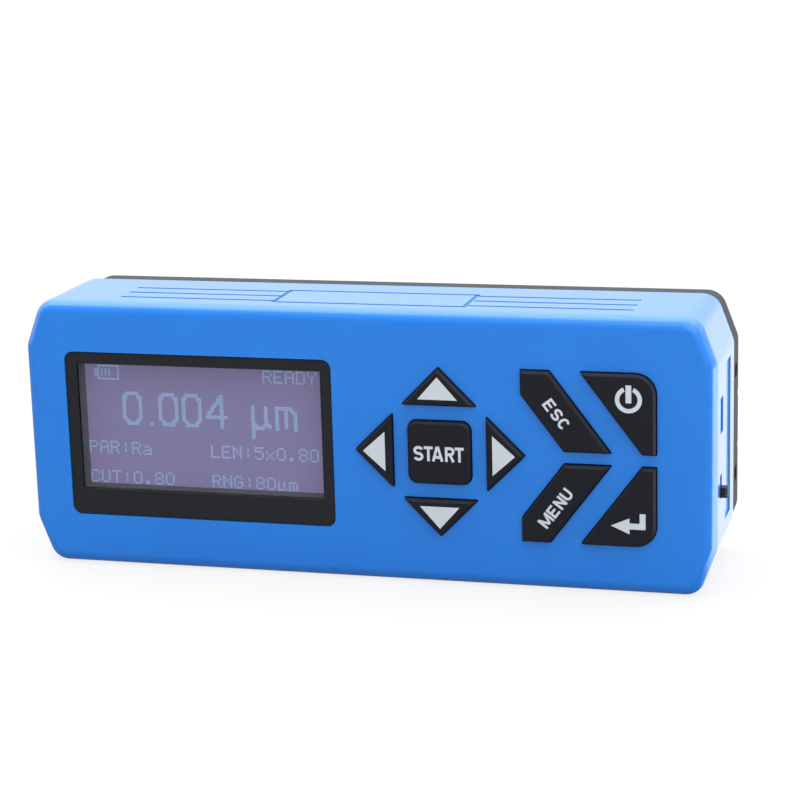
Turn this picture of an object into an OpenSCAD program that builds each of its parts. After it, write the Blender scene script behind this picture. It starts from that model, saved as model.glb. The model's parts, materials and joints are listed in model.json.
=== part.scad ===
// Hand-held surface roughness tester, standing on its lower long side.
// X runs along the length, the display faces -Y, Z is up and zero is the surface it stands on.
// Inside the modules y counts back from the front face and z from mid-height.

/* [Body] */
// Length of the housing, end to end
body_l = 141; // [138:1:170]
// Height as it stands on its long side
body_h = 55; // [54:0.5:64]
// Depth of the front housing
shell_d = 25; // [25:0.5:34]
// Depth of the rear base
base_d = 10; // [10:0.5:14]
// Wall of the front housing
wall = 2.2; // [1.8:0.1:2.4]
// Wall of the rear base
base_wall = 2; // [1.7:0.1:2.2]
// Radius of the housing's front edge
edge_r = 2.6; // [1.5:0.1:3.5]
// Radius where a slanted corner meets the long side
corner_r = 4; // [3.8:0.1:8]
// Radius where a slanted corner meets the end
end_r = 5; // [3.8:0.1:6]
// How far a slanted corner draws in along the length
slant_x = 3.5; // [2.5:0.5:5]
// How far a slanted corner reaches along the end
slant_z = 9.3; // [7.5:0.1:11]
// Step from the housing's end in to the base's end
base_step_x = 0.3; // [0.2:0.1:0.8]
// Step from the housing's upper side down to the base's
base_step_top = 1.1; // [0.6:0.1:1.2]
// Step from the housing's lower side up to the base's
base_step_low = 0.5; // [0.4:0.1:0.8]
// Radius of the base's rear edge
base_edge_r = 0.9; // [0.6:0.1:1.8]
// Height of the base's lip inside the housing
lip_h = 1.5; // [1:0.1:2.5]
// Thickness of that lip
lip_t = 1.2; // [0.9:0.1:1.5]
// Clearance between pieces that are put together and stay
fit = 0.1; // [0.05:0.01:0.15]

/* [Top side] */
// Width of the engraved lines
line_w = 0.5; // [0.3:0.1:0.8]
// Depth of the engraved lines
line_dep = 0.3; // [0.2:0.05:0.5]
// How far back the first line lies
line_y = 6.85; // [5:0.05:9]
// Distance from line to line
line_pitch = 4.7; // [3.5:0.1:6]
// Middle of the lines and the panel along the length
line_x = 1; // [-2:0.1:2]
// Where the lines end, from their middle
line_end = 52.3; // [40:0.1:58]
// Length of the outlined panel
panel_l = 39.5; // [25:0.5:60]
// Breadth of the outlined panel
panel_b = 12.2; // [10:0.1:15]

/* [Display] */
// From the housing's left end to the display bezel
disp_in = 8.8; // [7:0.1:14]
// From the display bezel to the arrow pad
disp_gap = 4.7; // [3.6:0.1:8]
// From the housing's long sides to the display bezel
disp_edge = 10.5; // [9.5:0.1:13]
// Middle of the display above mid-height
disp_z = 0.2; // [-0.5:0.1:0.5]
// Corner radius of the display bezel
disp_r = 1.8; // [0.8:0.1:3]
// Face of the bezel at either side of the window opening
bezel_side = 2.3; // [1.5:0.1:4]
// Face of the bezel above the opening
bezel_top = 2.4; // [1.5:0.1:4]
// Face of the bezel below the opening
bezel_low = 5.4; // [2:0.1:7]
// How deep the bezel's face lies in the housing
bezel_drop = 0.25; // [0.1:0.05:0.4]
// Thickness of the bezel's lip in front of the clear plate
bezel_lip = 0.5; // [0.4:0.1:1]
// Thickness of the clear plate
plate_t = 1.2; // [0.8:0.1:1.5]
// How far the clear plate reaches past the opening
plate_lap = 1.3; // [0.8:0.1:1.4]
// From the bezel's face back to the display panel
win_dep = 5; // [4:0.1:5.3]
// Rim of the bezel behind the housing's wall
bezel_rim = 1.6; // [1:0.1:1.8]
// Thickness of the display panel
lcd_t = 1.8; // [1.2:0.1:2.4]
// How far the panel reaches past the opening
lcd_lap = 2.2; // [1.5:0.1:2.4]

/* [Keys] */
// Height of the keys above the front face
key_proud = 1.3; // [0.8:0.1:2]
// Bevel around a key's top
key_bevel = 0.45; // [0.3:0.05:0.8]
// Gap between a key and the housing
key_gap = 0.2; // [0.2:0.05:0.4]
// How far a key is pressed in
key_travel = 0.8; // [0.5:0.1:1]
// How far a key's rim reaches behind the housing's wall
key_rim = 0.45; // [0.35:0.05:0.55]
// Thickness of that rim
key_rim_t = 1; // [0.8:0.1:1.2]
// Corner radius of the openings for the keys
key_r = 0.2; // [0.2:0.05:0.8]
// Middle of the keys above mid-height
key_z = -0.45; // [-0.6:0.05:0.6]
// From the housing's right end to the arrow pad's middle
pad_in = 54.1; // [53:0.1:58]
// Width of the square opening in the pad's middle
start_w = 13; // [10:0.1:13.4]
// Corner radius of the square opening
start_r = 2; // [1:0.05:2.5]
// From the pad's middle to an arrow key's base
arrow_base = 9.3; // [9:0.1:9.8]
// From the pad's middle to an arrow key's tip
arrow_tip = 17.2; // [15.5:0.1:17.3]
// Half the length of an arrow key's base
arrow_half = 7.8; // [6.5:0.1:7.9]
// From the arrow pad's middle to the slanted keys
side_in = 16.2; // [16:0.1:17]
// Outer edge of the slanted and corner keys, from the keys' middle
side_top = 17.25; // [15.5:0.05:17.4]
// Half the gap between upper and lower keys
side_gap = 1.1; // [1:0.05:1.5]
// Slanted keys' width at their outer edge
side_top_w = 5.8; // [4.5:0.1:6.2]
// Slanted keys' width at their inner edge
side_low_w = 9.5; // [8:0.1:10]
// How far the slanted sides run along the length
side_run = 12.2; // [11:0.1:12.6]
// From a slanted key's outer edge to the corner key's
side_step = 5.7; // [5:0.1:6.2]
// Corner keys' width at their inner edge
side_foot = 2.9; // [2.6:0.1:4]
// Large radius on the corner keys
side_r = 4.2; // [2:0.1:5]

/* [Right end] */
// Middle of the data socket above mid-height
socket_z = 7.4; // [6.5:0.1:8]
// Length of the data socket's opening
socket_l = 7; // [6.5:0.1:8]
// Breadth of the data socket's opening
socket_b = 3.6; // [3:0.1:3.8]
// How deep the socket's mouth lies
socket_drop = 0.6; // [0.3:0.1:1]
// Middle of the switch slot above mid-height
switch_z = -6.6; // [-7.5:0.1:-6]
// How far back the switch slot lies
switch_y = 6.25; // [6:0.05:6.4]
// Length of the switch slot
switch_l = 4.6; // [4.2:0.1:5.5]
// Breadth of the switch slot
switch_b = 2.5; // [2:0.1:2.8]
// Length of the switch knob
knob_l = 2.1; // [1.6:0.1:2.4]
// How far the knob stands out
knob_out = 1.4; // [1:0.1:2]
// Gap around the switch knob
knob_gap = 0.25; // [0.15:0.05:0.3]
// Height of the shallow recess
recess_h = 31.5; // [24:0.5:33]
// Middle of the recess above mid-height
recess_z = 0.6; // [-1:0.1:1]
// Where the recess starts, from the front face
recess_y = 12.5; // [11:0.1:14]
// Breadth of the recess
recess_b = 7.4; // [4:0.1:8]
// Depth of the recess
recess_dep = 0.35; // [0.25:0.05:1]
// Depth of the ridges on the switch knob
ridge_dep = 0.35; // [0.2:0.05:0.5]

/* [Base] */
// Radius of the stand's two holes
stand_r = 1.65; // [1.2:0.05:1.8]
// Distance between them
stand_pitch = 21.5; // [18:0.1:26]
// From the rear face to the stand's holes
stand_y = 4.2; // [3.9:0.1:4.6]
// Depth of the stand's holes
stand_dep = 7; // [5:0.5:9]
// Distance between the two rear grooves
groove_pitch = 10.9; // [9:0.1:13]
// Width of a rear groove at its mouth
groove_w = 2.8; // [1.6:0.1:4]
// Width of a rear groove at its bottom
groove_floor = 0.5; // [0.2:0.1:1]
// Depth of a rear groove
groove_dep = 1.4; // [0.6:0.1:1.5]
// From the housing's ends to the base screws
screw_in = 12.5; // [11:0.5:16]
// Radius of a base screw's shank
screw_r = 1.2; // [0.9:0.05:1.3]
// Radius of a base screw's head
screw_head_r = 2.2; // [1.8:0.1:2.4]

/* [Inside] */
// How far back the circuit board lies
board_y = 8.9; // [8.9:0.1:9.4]
// Thickness of the circuit board
board_t = 1.6; // [1:0.1:2]
// Height of the circuit board
board_h = 37.6; // [36:0.1:37.8]
// Length of the battery
battery_l = 52; // [40:1:60]
// Height of the battery
battery_h = 25; // [20:0.5:26]
// Gap between the battery and the drive
battery_gap = 2; // [1.5:0.1:4]

/* [Drive] */
// Stroke of the carriage
stroke = 17.5; // [12:0.5:20]
// Radius of the pickup socket's bore
pickup_r = 2.6; // [2:0.05:2.7]
// Depth of the pickup socket's bore
pickup_dep = 20; // [14:0.5:22]
// Wall of the pickup socket
pickup_wall = 0.8; // [0.5:0.05:0.85]
// Gap around the pickup socket in the base's end
pickup_gap = 0.35; // [0.2:0.05:0.4]
// From the rear face to the pickup's axis
pickup_y = 5.5; // [5.4:0.1:5.8]
// Length of the carriage
carriage_l = 12; // [10:0.5:16]
// Height of the carriage
carriage_h = 32; // [31:0.5:33]
// Distance between the guide rods
rod_pitch = 25; // [24.5:0.1:26]
// Radius of the guide rods
rod_r = 1.5; // [1.2:0.05:1.5]
// Running gap on rods, screw and shaft
run_gap = 0.05; // [0.02:0.01:0.08]
// Radius of the lead screw
lead_r = 2; // [1.8:0.05:2.1]
// Radius of the lead screw's journals
journal_r = 1.5; // [1.2:0.05:1.6]
// From the pickup's axis down to the lead screw
lead_z = 6.5; // [6.4:0.05:6.6]
// From the rear face to the lead screw and the rods
lead_y = 8; // [7.8:0.05:8.2]
// Thickness of the drive frame's plates
frame_t = 2; // [1.5:0.1:2.5]
// Radius of the drive motor
motor_r = 5; // [4:0.1:5.2]
// Length of the drive motor
motor_l = 24; // [18:0.5:30]

/* [Hidden] */
$fn = 48;

blue = "#3682e0";
grey = "#6e7070";
black = "#26292b";
steel = "#b4b8bc";
bronze = "#b08d57";

// Steps in a rounded corner and in a rounded edge
arc_steps = 8;
edge_steps = 8;
// Cuts reach this far past what they cut
past = 1;

// Planes of the body, from the front face back
front_y = key_proud - (key_proud + shell_d + base_d) / 2;
rear_y = shell_d + base_d;
floor_y = rear_y - base_wall;
inner_x = body_l / 2 - wall;
pad_x = body_l / 2 - pad_in;
side_x = pad_x + side_in;
side_end = side_x + side_top_w + side_step + side_run + side_foot;
base_l = body_l - 2 * base_step_x;
base_h = body_h - base_step_top - base_step_low;
base_z = (base_step_low - base_step_top) / 2;

// The display fills what the left end's margin and the arrow pad leave
disp_w = pad_x - arrow_tip - disp_gap + body_l / 2 - disp_in;
disp_x = disp_in - body_l / 2 + disp_w / 2;
disp_h = body_h - 2 * disp_edge;
win_w = disp_w - 2 * bezel_side;
win_h = disp_h - bezel_top - bezel_low;
win_dz = (bezel_low - bezel_top) / 2;

// Stack of the display: bezel lip, clear plate, holder, panel, light
bezel_seat = 1;
plate_front = bezel_drop + bezel_lip;
plate_back = plate_front + plate_t;
bezel_back = max(wall, plate_back) + bezel_seat;
lcd_front = bezel_drop + win_dep;
lcd_back = lcd_front + lcd_t;
board_back = board_y + board_t;
bezel_w = disp_w + 2 * bezel_rim;
bezel_h = disp_h + 2 * bezel_rim;

// Keys: behind the wall lies the rim, then a stem that meets the mat's dome
seat_gap = 0.05;
rim_front = wall + seat_gap;
rim_back = rim_front + key_rim_t;
stem_r = 1.8;
dome_gap = 0.1;
mat_t = 1;
dome_h = 1.5;
dome_flare = 0.7;
mat_side = 0.8;
mat_edge = 1;
mat_gap = 0.5;
mat_front = board_y - mat_t;
dome_front = mat_front - dome_h;
stem_back = dome_front - key_travel - dome_gap;

// Board, its posts and its screws
board_edge = 1;
board_end = 1.8;
board_x0 = disp_x - bezel_w / 2 - board_edge;
board_x1 = inner_x - board_end;
post_r = 2;
post_z = 15.2;
post_gap = 0.9;
post_in = 1.9;
post_xs = [disp_x + bezel_w / 2 + post_r + post_gap, board_x1 - post_in];
board_screw_r = 0.9;
board_head_r = 1.7;
board_head_h = 1.2;
board_screw_dep = 3;
chip_gap = 6;
chip_step = 1.5;
chip_l = 12;
chip_t = 1.4;
ram_l = 8;
plug_l = 8;
plug_t = 3;
buzzer_r = 4.5;

// Switch, from the end wall inwards
lever_gap = 0.2;
lever_plate_t = 1;
lever_tail = 1.8;
plate_x1 = inner_x - lever_gap;
plate_x0 = plate_x1 - lever_plate_t;
switch_x1 = plate_x0 - lever_gap;
switch_depth = 4;
switch_x0 = switch_x1 - switch_depth;
switch_travel = switch_l - knob_l - 2 * knob_gap;
lever_z = switch_z - switch_travel / 2;
knob_b = switch_b - 2 * knob_gap;
plate_b = switch_b * 1.6;

// Data socket
shell_t = 0.35;
shell_l = socket_l - 2 * fit;
shell_b = socket_b - 2 * fit;
socket_y = board_y - shell_b / 2;
socket_x1 = body_l / 2 - socket_drop;
socket_depth = 7.4;
core_l = shell_l - 2 * shell_t;
core_b = shell_b - 2 * shell_t;
core_back = 3;
tongue_b = 0.8;
tongue_l = shell_l * 0.65;
tongue_drop = 1;

// Screws that hold the base
boss_r = 2.5;
boss_gap = 0.4;
pillar_r = 2.9;
screw_x = body_l / 2 - screw_in;
screw_z = disp_z + bezel_h / 2 + boss_gap + boss_r;
screw_head_h = 1.5;
screw_sink = 2.2;
screw_grip = 7;
screw_seat_y = rear_y - screw_sink;
stand_wall = 1.6;

// Drive unit, from the left end inwards
left_x = -base_l / 2;
mouth_drop = 0.5;
mouth_x = left_x + mouth_drop;
axis_y = rear_y - pickup_y;
lead_axis_y = rear_y - lead_y;
pickup_out_r = pickup_r + pickup_wall;
frame_in = 2.5;
frame_x0 = left_x + base_wall + frame_in;
carriage_in = 11.5;
carriage_x0 = frame_x0 + frame_t + carriage_in;
carriage_x1 = carriage_x0 + carriage_l;
stroke_spare = 1.5;
plate_b_x = carriage_x1 + stroke + stroke_spare;
coupling_l = 10;
coupling_gap = 0.5;
coupling_x0 = plate_b_x + frame_t + coupling_gap;
coupling_mid = coupling_x0 + coupling_l / 2;
motor_plate_x = coupling_x0 + coupling_l + coupling_gap;
motor_x = motor_plate_x + frame_t;
frame_d = 11.5;
frame_front = floor_y - frame_d;
battery_t = frame_front - board_back - battery_gap;
bridge_t = 1.5;
frame_h = 34;
foot_l = 4.6;
foot_t = 1.5;
foot_z = 15;
foot_h = 3.6;
foot_xs = [frame_x0 + frame_t, motor_x];
foot_screw_r = 0.9;
foot_head_r = 1.6;
foot_head_h = 1;
foot_grip = 1;
bush_wall = 0.9;
nut_wall = 1.1;
shaft_r = 1;
shaft_in = 4;
gearbox_l = motor_l * 0.4;
motor_boss_l = 1.2;
carriage_gap = 1;
contact_r = pickup_r * 0.75;

function unit(v) = v / norm(v);
function left_of(v) = [-v[1], v[0]];
function side_dir(pts, i) = unit(pts[(i + 1) % len(pts)] - pts[i]);

// How far a corner moves when both its sides move inwards by one
function corner_shift(pts, i) =
    let (a = left_of(side_dir(pts, (i + len(pts) - 1) % len(pts))), b = left_of(side_dir(pts, i)))
    (a + b) / (1 + a * b);

// A convex outline with every side moved inwards, or outwards if d is negative
function inset(pts, d) = [for (i = [0:len(pts) - 1]) pts[i] + d * corner_shift(pts, i)];

// The same outline with an arc of its own radius in each corner, run anticlockwise
function rounded(pts, radii) = [for (i = [0:len(pts) - 1])
    let (a = side_dir(pts, (i + len(pts) - 1) % len(pts)),
        b = side_dir(pts, i),
        middle = pts[i] + radii[i] * corner_shift(pts, i),
        start = atan2(-left_of(a)[1], -left_of(a)[0]),
        turn = atan2(a[0] * b[1] - a[1] * b[0], a * b))
    for (k = [0:arc_steps])
        middle + radii[i] * [cos(start + turn * k / arc_steps), sin(start + turn * k / arc_steps)]];

function rounded_inset(pts, radii, d) =
    rounded(inset(pts, d), [for (r = radii) max(r - d, 0.1)]);

// Middle of an outline's area
function cross2(p, q) = p[0] * q[1] - p[1] * q[0];
function sum(list, i = 0) = i == len(list) - 1 ? list[i] : list[i] + sum(list, i + 1);
function centroid(pts) =
    let (n = len(pts), parts = [for (i = [0:n - 1]) cross2(pts[i], pts[(i + 1) % n])])
    sum([for (i = [0:n - 1]) (pts[i] + pts[(i + 1) % n]) * parts[i]]) / (3 * sum(parts));

// Outline of the body with its slanted corners, for any length and height
function body_points(l, h) = [
    [l / 2, slant_z - h / 2], [l / 2, h / 2 - slant_z],
    [l / 2 - slant_x, h / 2], [slant_x - l / 2, h / 2],
    [-l / 2, h / 2 - slant_z], [-l / 2, slant_z - h / 2],
    [slant_x - l / 2, -h / 2], [l / 2 - slant_x, -h / 2]];
body_radii = [end_r, end_r, corner_r, corner_r, end_r, end_r, corner_r, corner_r];
function body_outline(d) = rounded_inset(body_points(body_l, body_h), body_radii, d);
function base_outline(d) = moved(rounded_inset(body_points(base_l, base_h), body_radii, d), [0, base_z]);

// Outlines of the keys' openings
function box_points(w, h) = [[w / 2, -h / 2], [w / 2, h / 2], [-w / 2, h / 2], [-w / 2, -h / 2]];
function moved(pts, by) = [for (p = pts) p + by];
function turned(pts, a) = [for (p = pts)
    [p[0] * cos(a) - p[1] * sin(a), p[0] * sin(a) + p[1] * cos(a)]];
function flipped(pts) = [for (i = [0:len(pts) - 1])
    let (p = pts[len(pts) - 1 - i]) [p[0], 2 * key_z - p[1]]];
function arrow_points(a) = moved(
    turned([[arrow_base, -arrow_half], [arrow_tip, 0], [arrow_base, arrow_half]], a), [pad_x, key_z]);
side_slope = side_run / (side_top - side_gap);
side_foot_x = side_x + side_top_w + side_run - side_low_w;
escape_points = [
    [side_x + side_top_w, key_z + side_top], [side_x, key_z + side_top],
    [side_x, key_z + side_gap + (side_foot_x - side_x) / side_slope],
    [side_foot_x, key_z + side_gap], [side_foot_x + side_low_w, key_z + side_gap]];
power_x = side_x + side_top_w + side_step;
power_points = [
    [side_end, key_z + side_gap], [side_end, key_z + side_top],
    [power_x, key_z + side_top], [power_x + side_run, key_z + side_gap]];
// Each opening's outline and its corner radii
start_key = [moved(box_points(start_w, start_w), [pad_x, key_z]), [start_r, start_r, start_r, start_r]];
right_key = [arrow_points(0), [key_r, key_r, key_r]];
up_key = [arrow_points(90), [key_r, key_r, key_r]];
left_key = [arrow_points(180), [key_r, key_r, key_r]];
down_key = [arrow_points(270), [key_r, key_r, key_r]];
escape_key = [escape_points, [key_r, key_r, key_r, key_r, key_r]];
menu_key = [flipped(escape_points), [key_r, key_r, key_r, key_r, key_r]];
power_key = [power_points, [key_r, side_r, key_r, key_r]];
enter_key = [flipped(power_points), [key_r, key_r, side_r, key_r]];
keys = [start_key, up_key, down_key, left_key, right_key, escape_key, menu_key, power_key, enter_key];

// From the front face and mid-height to the place where the part stands
module place() translate([0, front_y, body_h / 2]) children();

// An outline drawn in x and z, made solid from y0 back to y1
module slab(y0, y1) translate([0, y1, 0]) rotate([90, 0, 0]) linear_extrude(y1 - y0) children();

// A block given by its lowest and highest corner
module block(low, high) translate(low) cube(high - low);

// A round bar along y, and one along x
module bar_y(x, z, y0, y1, r) translate([x, y0, z]) rotate([-90, 0, 0]) cylinder(r = r, h = y1 - y0);
module bar_x(y, z, x0, x1, r) translate([x0, y, z]) rotate([0, 90, 0]) cylinder(r = r, h = x1 - x0);

// Skin over rings of points, each ring an outline at its own depth
function ring(pts, y) = [for (p = pts) [p[0], y, p[1]]];
module loft(rings) {
    n = len(rings[0]);
    last = len(rings) - 1;
    sides = [for (j = [0:last - 1], i = [0:n - 1])
        [j * n + i, j * n + (i + 1) % n, (j + 1) * n + (i + 1) % n, (j + 1) * n + i]];
    front = [for (i = [0:n - 1]) n - 1 - i];
    back = [for (i = [0:n - 1]) last * n + i];
    polyhedron([for (r = rings) each r], concat([front], sides, [back]));
}

module four_screws() for (sx = [-1, 1], sz = [-1, 1]) translate([sx * screw_x, 0, sz * screw_z]) children();
module board_holes() for (x = post_xs, sz = [-1, 1]) translate([x, 0, sz * post_z]) children();
module feet() for (x = foot_xs, sz = [-1, 1]) translate([x, 0, sz * foot_z]) children();

// The engraved panel and lines on the top side
module top_lines() {
    top = body_h / 2;
    middle_y = line_y + line_pitch;
    for (i = [0:2], s = [-1, 1]) {
        y = line_y + i * line_pitch;
        near = s * panel_l / 2;
        far = s * line_end;
        block([min(near, far), y - line_w / 2, top - line_dep],
            [max(near, far), y + line_w / 2, top + past]);
    }
    difference() {
        block([-panel_l / 2, middle_y - panel_b / 2, top - line_dep],
            [panel_l / 2, middle_y + panel_b / 2, top + past]);
        block([line_w - panel_l / 2, middle_y - panel_b / 2 + line_w, top - 2 * line_dep],
            [panel_l / 2 - line_w, middle_y + panel_b / 2 - line_w, top + 2 * past]);
    }
}

// Socket opening, switch slot and shallow recess in the right end
module end_cuts() {
    end_x = body_l / 2;
    block([inner_x - past, socket_y - socket_b / 2, socket_z - socket_l / 2],
        [end_x + past, socket_y + socket_b / 2, socket_z + socket_l / 2]);
    block([inner_x - past, switch_y - switch_b / 2, switch_z - switch_l / 2],
        [end_x + past, switch_y + switch_b / 2, switch_z + switch_l / 2]);
    block([end_x - recess_dep, recess_y, recess_z - recess_h / 2],
        [end_x + past, recess_y + recess_b, recess_z + recess_h / 2]);
}

module front_housing() color(blue) place() difference() {
    union() {
        difference() {
            loft(concat([for (k = [0:edge_steps]) let (a = 90 * k / edge_steps)
                ring(body_outline(edge_r * (1 - sin(a))), edge_r * (1 - cos(a)))],
                [ring(body_outline(0), shell_d)]));
            slab(wall, shell_d + past) polygon(body_outline(wall));
        }
        four_screws() bar_y(0, 0, wall / 2, shell_d, boss_r);
        board_holes() bar_y(0, 0, wall / 2, board_y, post_r);
    }
    slab(-past, wall + past) translate([disp_x, disp_z])
        polygon(rounded_inset(box_points(disp_w, disp_h), [disp_r, disp_r, disp_r, disp_r], -fit));
    for (k = keys) slab(-key_proud, wall + past) polygon(rounded(k[0], k[1]));
    translate([line_x, 0, 0]) top_lines();
    end_cuts();
    four_screws() bar_y(0, 0, shell_d - screw_grip - past, shell_d + past, screw_r + fit / 4);
    board_holes() bar_y(0, 0, board_y - board_screw_dep - past, board_y + past, board_screw_r + fit / 4);
}

// A flared groove along the whole rear, drawn from the rear face
module rear_groove() rotate([90, 0, 90]) linear_extrude(2 * body_l, center = true)
    polygon([[-groove_dep, -groove_floor / 2], [0, -groove_w / 2], [past, -groove_w / 2],
        [past, groove_w / 2], [0, groove_w / 2], [-groove_dep, groove_floor / 2]]);

module rear_base() color(grey) place() difference() {
    union() {
        difference() {
            loft(concat([ring(base_outline(0), shell_d)],
                [for (k = [0:edge_steps]) let (a = 90 * k / edge_steps)
                ring(base_outline(base_edge_r * (1 - cos(a))), rear_y - base_edge_r * (1 - sin(a)))]));
            slab(shell_d - past, floor_y) polygon(base_outline(base_wall));
        }
        difference() {
            slab(shell_d - lip_h, shell_d + lip_h) polygon(body_outline(wall + fit));
            slab(shell_d - lip_h - past, shell_d + lip_h + past) polygon(body_outline(wall + fit + lip_t));
            four_screws() bar_y(0, 0, shell_d - lip_h - past, shell_d, boss_r + 2 * fit);
        }
        four_screws() bar_y(0, 0, shell_d, floor_y + base_wall / 2, pillar_r);
        for (s = [-1, 1]) bar_x(rear_y - stand_y, s * stand_pitch / 2, base_l / 2 - stand_dep - base_wall,
            base_l / 2 - base_wall / 2, stand_r + stand_wall);
    }
    four_screws() bar_y(0, 0, shell_d - past, rear_y, screw_r + fit);
    four_screws() bar_y(0, 0, screw_seat_y, rear_y + past, screw_head_r + 2 * fit);
    for (s = [-1, 1]) {
        bar_x(rear_y - stand_y, s * stand_pitch / 2, base_l / 2 - stand_dep, base_l / 2 + past, stand_r);
        translate([0, rear_y, s * groove_pitch / 2]) rear_groove();
    }
    bar_x(axis_y, 0, left_x - past, left_x + lip_t + wall + past, pickup_out_r + pickup_gap);
    feet() bar_y(foot_l / 2, 0, floor_y - past, floor_y + foot_grip, foot_screw_r + fit / 4);
}

// Outlines of the display, about the middle of the bezel
module disp_place() place() translate([disp_x, 0, disp_z]) children();
module past_window(lap) translate([0, win_dz]) square([win_w + 2 * lap, win_h + 2 * lap], center = true);

module display_window() color("#9aa0b0", 0.4) disp_place()
    slab(plate_front, plate_back) past_window(plate_lap);

module display_bezel() color(black) disp_place() difference() {
    union() {
        slab(bezel_drop, wall + past / 2)
            polygon(rounded(box_points(disp_w, disp_h), [disp_r, disp_r, disp_r, disp_r]));
        slab(wall, bezel_back) square([bezel_w, bezel_h], center = true);
    }
    slab(bezel_drop - past, bezel_back + past) past_window(0);
    slab(plate_front, bezel_back + past) past_window(plate_lap + fit);
}

// The holder presses the clear plate into the bezel and frames the panel
module lcd_holder() color("#6f706c") disp_place() difference() {
    union() {
        slab(plate_back, bezel_back) past_window(plate_lap);
        slab(bezel_back, board_y) square([bezel_w, bezel_h], center = true);
    }
    slab(plate_back - past, lcd_front + past) past_window(0);
    slab(lcd_front, board_y + past) past_window(lcd_lap + fit);
}

module lcd_panel() color("#7c7396") disp_place() slab(lcd_front, lcd_back) past_window(lcd_lap);

module backlight() color("white") disp_place() slab(lcd_back, board_y) past_window(lcd_lap);

module main_board() color("#1f6b43") place() difference() {
    block([board_x0, board_y, -board_h / 2], [board_x1, board_back, board_h / 2]);
    board_holes() bar_y(0, 0, board_y - past, board_back + past, board_screw_r + fit);
}

// A chip on the board's rear, given by its middle, its size and its thickness
module chip(x, z, size, t) block([x - size[0] / 2, board_back, z - size[1] / 2],
    [x + size[0] / 2, board_back + t, z + size[1] / 2]);

// Processor and memory beside the battery, supply, battery connector and buzzer on its other side
module board_parts() color(black) place() {
    left = -battery_l / 2 - chip_gap;
    right = battery_l / 2 + chip_gap;
    chip(left - ram_l - chip_step - chip_l / 2, 0, [chip_l, chip_l], chip_t);
    chip(left - ram_l / 2, chip_l / 2, [ram_l, ram_l * 0.6], chip_t);
    chip(right + chip_l * 0.4, chip_l / 2, [chip_l * 0.8, chip_l * 0.8], chip_t);
    chip(right + plug_l / 2, -chip_l, [plug_l, plug_t], plug_t);
    bar_y(right + plug_l + chip_step + buzzer_r, -chip_l, board_back, board_back + plug_t, buzzer_r);
}

module board_screws() color(steel) place() board_holes() {
    bar_y(0, 0, board_y - board_screw_dep, board_back, board_screw_r);
    bar_y(0, 0, board_back, board_back + board_head_h, board_head_r);
}

module keypad_mat() color("#4a4e52") place() {
    low = min([for (k = keys) centroid(k[0])[0]]) - stem_r - mat_side;
    high = min(side_end + mat_edge, switch_x0 - mat_gap, socket_x1 - socket_depth - mat_gap);
    block([low, mat_front, mat_edge - board_h / 2], [high, board_y, board_h / 2 - mat_edge]);
    for (k = keys) translate([centroid(k[0])[0], 0, centroid(k[0])[1]])
        translate([0, dome_front, 0]) rotate([-90, 0, 0])
        cylinder(r1 = stem_r, r2 = stem_r + dome_flare, h = dome_h + mat_t / 2);
}

// A key in its opening: bevelled cap, rim behind the housing's wall, stem towards the mat
module key(k) color(black) place() {
    loft([ring(rounded_inset(k[0], k[1], key_gap + key_bevel), -key_proud),
        ring(rounded_inset(k[0], k[1], key_gap), key_bevel - key_proud),
        ring(rounded_inset(k[0], k[1], key_gap), rim_back)]);
    slab(rim_front, rim_back) polygon(rounded_inset(k[0], k[1], -key_rim));
    bar_y(centroid(k[0])[0], centroid(k[0])[1], rim_front, stem_back, stem_r);
}
module key_start() key(start_key);
module key_up() key(up_key);
module key_down() key(down_key);
module key_left() key(left_key);
module key_right() key(right_key);
module key_escape() key(escape_key);
module key_menu() key(menu_key);
module key_power() key(power_key);
module key_enter() key(enter_key);

module socket_shell() color(steel) place() difference() {
    block([socket_x1 - socket_depth, socket_y - shell_b / 2, socket_z - shell_l / 2],
        [socket_x1, socket_y + shell_b / 2, socket_z + shell_l / 2]);
    block([socket_x1 - socket_depth - past, socket_y - core_b / 2, socket_z - core_l / 2],
        [socket_x1 + past, socket_y + core_b / 2, socket_z + core_l / 2]);
}

module socket_core() color(black) place() {
    back_x = socket_x1 - socket_depth;
    block([back_x, socket_y - core_b / 2, socket_z - core_l / 2],
        [back_x + core_back, socket_y + core_b / 2, socket_z + core_l / 2]);
    block([back_x + core_back - past, socket_y - tongue_b / 2, socket_z - tongue_l / 2],
        [socket_x1 - tongue_drop, socket_y + tongue_b / 2, socket_z + tongue_l / 2]);
}

module switch_body() color(black) place() difference() {
    block([switch_x0, switch_y - switch_b, switch_z - switch_l],
        [switch_x1, board_y, switch_z + switch_l]);
    block([switch_x1 - lever_tail - lever_gap, switch_y - knob_b / 2 - fit, switch_z - switch_l / 2],
        [switch_x1 + past, switch_y + knob_b / 2 + fit, switch_z + switch_l / 2]);
}

// Knob with ridges for the finger, and the plate that slides behind the wall
module switch_lever() color(black) place() {
    knob_x = body_l / 2 + knob_out;
    ridge_w = knob_l / 7;
    difference() {
        block([switch_x1 - lever_tail, switch_y - knob_b / 2, lever_z - knob_l / 2],
            [knob_x, switch_y + knob_b / 2, lever_z + knob_l / 2]);
        for (i = [-1:1]) translate([0, 0, lever_z + 2 * i * ridge_w])
            block([knob_x - ridge_dep, switch_y - knob_b, -ridge_w / 2],
                [knob_x + past, switch_y + knob_b, ridge_w / 2]);
    }
    block([plate_x0, switch_y - plate_b / 2, lever_z - knob_l],
        [plate_x1, switch_y + plate_b / 2, lever_z + knob_l]);
}

module battery_pack() color("#35506e") place() translate([0, board_back, 0])
    block([-battery_l / 2, 0, -battery_h / 2], [battery_l / 2, battery_t, battery_h / 2]);

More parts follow.
